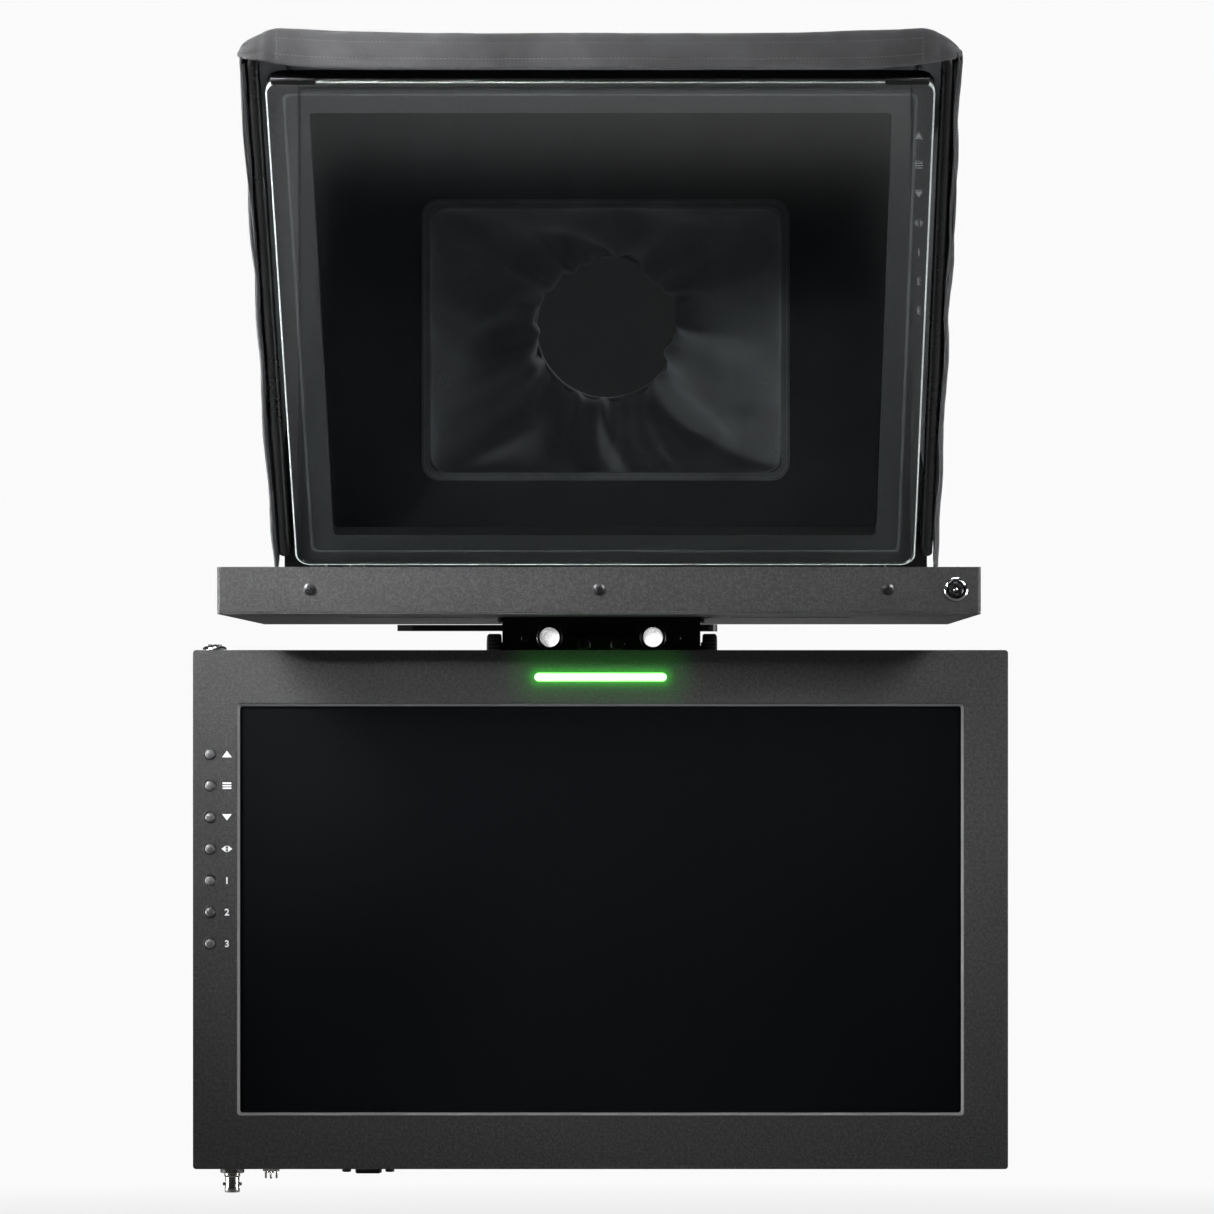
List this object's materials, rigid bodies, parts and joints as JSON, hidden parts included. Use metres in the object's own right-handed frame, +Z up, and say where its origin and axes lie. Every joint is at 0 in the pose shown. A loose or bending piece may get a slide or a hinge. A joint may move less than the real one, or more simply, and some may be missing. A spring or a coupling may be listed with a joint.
{
  "type": "teleprompter",
  "caption": "Studio teleprompter on twin rods: flat prompter monitor, angled beam-splitter glass in a cloth hood, and a talent monitor with a tally bar hung below.",
  "frame": {"origin": "middle of the base plate's underside, where the tripod plate bolts on", "axes": "+Z up; the talent stands on the -Y side and looks along +Y into the lens; +X is the talent's right hand side of the picture, the prompter monitor's button side"},
  "size_m": [0.467, 0.6195, 0.6655],
  "materials": {
    "powder_coat": "fine textured black powder coat on folded aluminium sheet",
    "glass_frame_coat": "black powder coat on an aluminium frame",
    "screen": "dark anti-glare liquid-crystal panel",
    "circuit_board": "green solder mask",
    "button_cap": "satin dark grey",
    "power_ring": "polished",
    "socket_metal": "nickel plated",
    "socket_plastic": "moulded black",
    "tally": "frosted lens, lit green",
    "anodised": "black anodised",
    "knob_plastic": "moulded black, ribbed grip",
    "steel": "plain steel",
    "mirror_glass": "beam-splitter coating on the front face",
    "hood_cloth": "black woven blackout cloth with stitched hems",
    "sleeve_cloth": "black stretch cloth, gathered by elastic",
    "panel_plastic": "matte black board"
  },
  "bodies": {
    "base": {"base_plate": "anodised", "rod_left": "anodised", "rod_right": "anodised"},
    "camera_screw": {"camera_screw": "steel"},
    "head": {"rod_carriage": "anodised", "mounting_plate": "anodised", "drop_bracket": "anodised", "glass_hinge_left": "anodised", "glass_hinge_right": "anodised", "prompter_front_bezel": "powder_coat", "prompter_rear_cover": "powder_coat", "prompter_lcd_panel": "screen", "prompter_button_board": "circuit_board", "prompter_control_board": "circuit_board", "prompter_power_bezel": "power_ring", "prompter_socket_plate": "socket_metal", "prompter_case_screw_left": "steel", "prompter_case_screw_centre": "steel", "prompter_case_screw_right": "steel"},
    "clamp_lever": {"clamp_lever": "anodised"},
    "rod_clamp_knob_left": {"rod_clamp_knob_left": "knob_plastic"},
    "rod_clamp_knob_right": {"rod_clamp_knob_right": "knob_plastic"},
    "tilt_knob": {"tilt_knob": "knob_plastic"},
    "tilt_arm": {"tilt_rail": "anodised"},
    "talent": {"talent_mount_plate": "anodised", "talent_front_bezel": "powder_coat", "talent_rear_cover": "powder_coat", "talent_lcd_panel": "screen", "talent_button_board": "circuit_board", "talent_control_board": "circuit_board", "talent_power_bezel": "power_ring", "tally_lens": "tally", "tally_led_board": "circuit_board", "bnc_socket": "socket_metal", "dc_socket": "socket_plastic", "vga_socket": "socket_metal", "hdmi_socket": "socket_metal"},
    "height_knob": {"height_knob": "knob_plastic"},
    "glass": {"glass_frame": "glass_frame_coat", "beam_splitter_glass": "mirror_glass", "hood_front_bow": "anodised", "hood_fabric": "hood_cloth"},
    "hood_rear": {"hood_rear_panel": "panel_plastic", "lens_sleeve": "sleeve_cloth"},
    "talent_button_up": {"talent_button_up": "button_cap"},
    "talent_button_menu": {"talent_button_menu": "button_cap"},
    "talent_button_down": {"talent_button_down": "button_cap"},
    "talent_button_flip": {"talent_button_flip": "button_cap"},
    "talent_button_input_1": {"talent_button_input_1": "button_cap"},
    "talent_button_input_2": {"talent_button_input_2": "button_cap"},
    "talent_button_input_3": {"talent_button_input_3": "button_cap"},
    "prompter_button_up": {"prompter_button_up": "button_cap"},
    "prompter_button_menu": {"prompter_button_menu": "button_cap"},
    "prompter_button_down": {"prompter_button_down": "button_cap"},
    "prompter_button_flip": {"prompter_button_flip": "button_cap"},
    "prompter_button_input_1": {"prompter_button_input_1": "button_cap"},
    "prompter_button_input_2": {"prompter_button_input_2": "button_cap"},
    "prompter_button_input_3": {"prompter_button_input_3": "button_cap"},
    "talent_power_button": {"talent_power_button": "button_cap"},
    "prompter_power_button": {"prompter_power_button": "button_cap"}
  },
  "joints": [
    {"name": "head_slide", "type": "slide", "parent": "base", "child": "head", "axis": [0, 1, 0], "range_m": [0, 0.07]},
    {"name": "camera_screw_slide", "type": "slide", "parent": "base", "child": "camera_screw", "axis": [0, 1, 0], "range_m": [-0.014, 0.014]},
    {"name": "clamp_lever_swing", "type": "hinge", "parent": "head", "child": "clamp_lever", "pos_m": [-0.049, -0.343, 0.0277], "axis": [0, 0, -1], "range_deg": [0, 70]},
    {"name": "rod_clamp_left_turn", "type": "hinge", "parent": "head", "child": "rod_clamp_knob_left", "pos_m": [-0.0575, -0.364, 0.014], "axis": [-1, 0, 0], "continuous": true},
    {"name": "rod_clamp_right_turn", "type": "hinge", "parent": "head", "child": "rod_clamp_knob_right", "pos_m": [0.0575, -0.364, 0.014], "axis": [1, 0, 0], "continuous": true},
    {"name": "tilt_knob_turn", "type": "hinge", "parent": "head", "child": "tilt_knob", "pos_m": [0.026, -0.3884, -0.02], "axis": [1, 0, 0], "continuous": true},
    {"name": "talent_tilt", "type": "hinge", "parent": "head", "child": "tilt_arm", "pos_m": [0, -0.3884, -0.02], "axis": [-1, 0, 0], "range_deg": [-5, 15]},
    {"name": "talent_height", "type": "slide", "parent": "tilt_arm", "child": "talent", "axis": [0, 0, -1], "range_m": [0, 0.06]},
    {"name": "height_knob_turn", "type": "hinge", "parent": "talent", "child": "height_knob", "pos_m": [0, -0.3784, -0.1351], "axis": [0, 1, 0], "continuous": true},
    {"name": "glass_fold", "type": "hinge", "parent": "head", "child": "glass", "pos_m": [0, -0.1735, 0.0653], "axis": [1, 0, 0], "range_deg": [0, 43.5]},
    {"name": "hood_fold", "type": "hinge", "parent": "glass", "child": "hood_rear", "pos_m": [0, -0.1735, 0.0653], "axis": [1, 0, 0], "range_deg": [0, 38.28], "deforming": ["hood_fabric"]},
    {"name": "talent_button_up_press", "type": "slide", "parent": "talent", "child": "talent_button_up", "axis": [0, 1, 0], "range_m": [0, 0.001], "stiffness_N_per_m": 700, "springref_m": -0.001},
    {"name": "talent_button_menu_press", "type": "slide", "parent": "talent", "child": "talent_button_menu", "axis": [0, 1, 0], "range_m": [0, 0.001], "stiffness_N_per_m": 700, "springref_m": -0.001},
    {"name": "talent_button_down_press", "type": "slide", "parent": "talent", "child": "talent_button_down", "axis": [0, 1, 0], "range_m": [0, 0.001], "stiffness_N_per_m": 700, "springref_m": -0.001},
    {"name": "talent_button_flip_press", "type": "slide", "parent": "talent", "child": "talent_button_flip", "axis": [0, 1, 0], "range_m": [0, 0.001], "stiffness_N_per_m": 700, "springref_m": -0.001},
    {"name": "talent_button_input_1_press", "type": "slide", "parent": "talent", "child": "talent_button_input_1", "axis": [0, 1, 0], "range_m": [0, 0.001], "stiffness_N_per_m": 700, "springref_m": -0.001},
    {"name": "talent_button_input_2_press", "type": "slide", "parent": "talent", "child": "talent_button_input_2", "axis": [0, 1, 0], "range_m": [0, 0.001], "stiffness_N_per_m": 700, "springref_m": -0.001},
    {"name": "talent_button_input_3_press", "type": "slide", "parent": "talent", "child": "talent_button_input_3", "axis": [0, 1, 0], "range_m": [0, 0.001], "stiffness_N_per_m": 700, "springref_m": -0.001},
    {"name": "prompter_button_up_press", "type": "slide", "parent": "head", "child": "prompter_button_up", "axis": [0, 0, -1], "range_m": [0, 0.001], "stiffness_N_per_m": 700, "springref_m": -0.001},
    {"name": "prompter_button_menu_press", "type": "slide", "parent": "head", "child": "prompter_button_menu", "axis": [0, 0, -1], "range_m": [0, 0.001], "stiffness_N_per_m": 700, "springref_m": -0.001},
    {"name": "prompter_button_down_press", "type": "slide", "parent": "head", "child": "prompter_button_down", "axis": [0, 0, -1], "range_m": [0, 0.001], "stiffness_N_per_m": 700, "springref_m": -0.001},
    {"name": "prompter_button_flip_press", "type": "slide", "parent": "head", "child": "prompter_button_flip", "axis": [0, 0, -1], "range_m": [0, 0.001], "stiffness_N_per_m": 700, "springref_m": -0.001},
    {"name": "prompter_button_input_1_press", "type": "slide", "parent": "head", "child": "prompter_button_input_1", "axis": [0, 0, -1], "range_m": [0, 0.001], "stiffness_N_per_m": 700, "springref_m": -0.001},
    {"name": "prompter_button_input_2_press", "type": "slide", "parent": "head", "child": "prompter_button_input_2", "axis": [0, 0, -1], "range_m": [0, 0.001], "stiffness_N_per_m": 700, "springref_m": -0.001},
    {"name": "prompter_button_input_3_press", "type": "slide", "parent": "head", "child": "prompter_button_input_3", "axis": [0, 0, -1], "range_m": [0, 0.001], "stiffness_N_per_m": 700, "springref_m": -0.001},
    {"name": "talent_power_button_press", "type": "slide", "parent": "talent", "child": "talent_power_button", "axis": [0, 0, -1], "range_m": [0, 0.0015], "stiffness_N_per_m": 700, "springref_m": -0.001},
    {"name": "prompter_power_button_press", "type": "slide", "parent": "head", "child": "prompter_power_button", "axis": [0, 1, 0], "range_m": [0, 0.0015], "stiffness_N_per_m": 700, "springref_m": -0.001}
  ],
  "couplings": [
    {"joint": "hood_fold", "follows": "glass_fold", "ratio": 0.88}
  ]
}
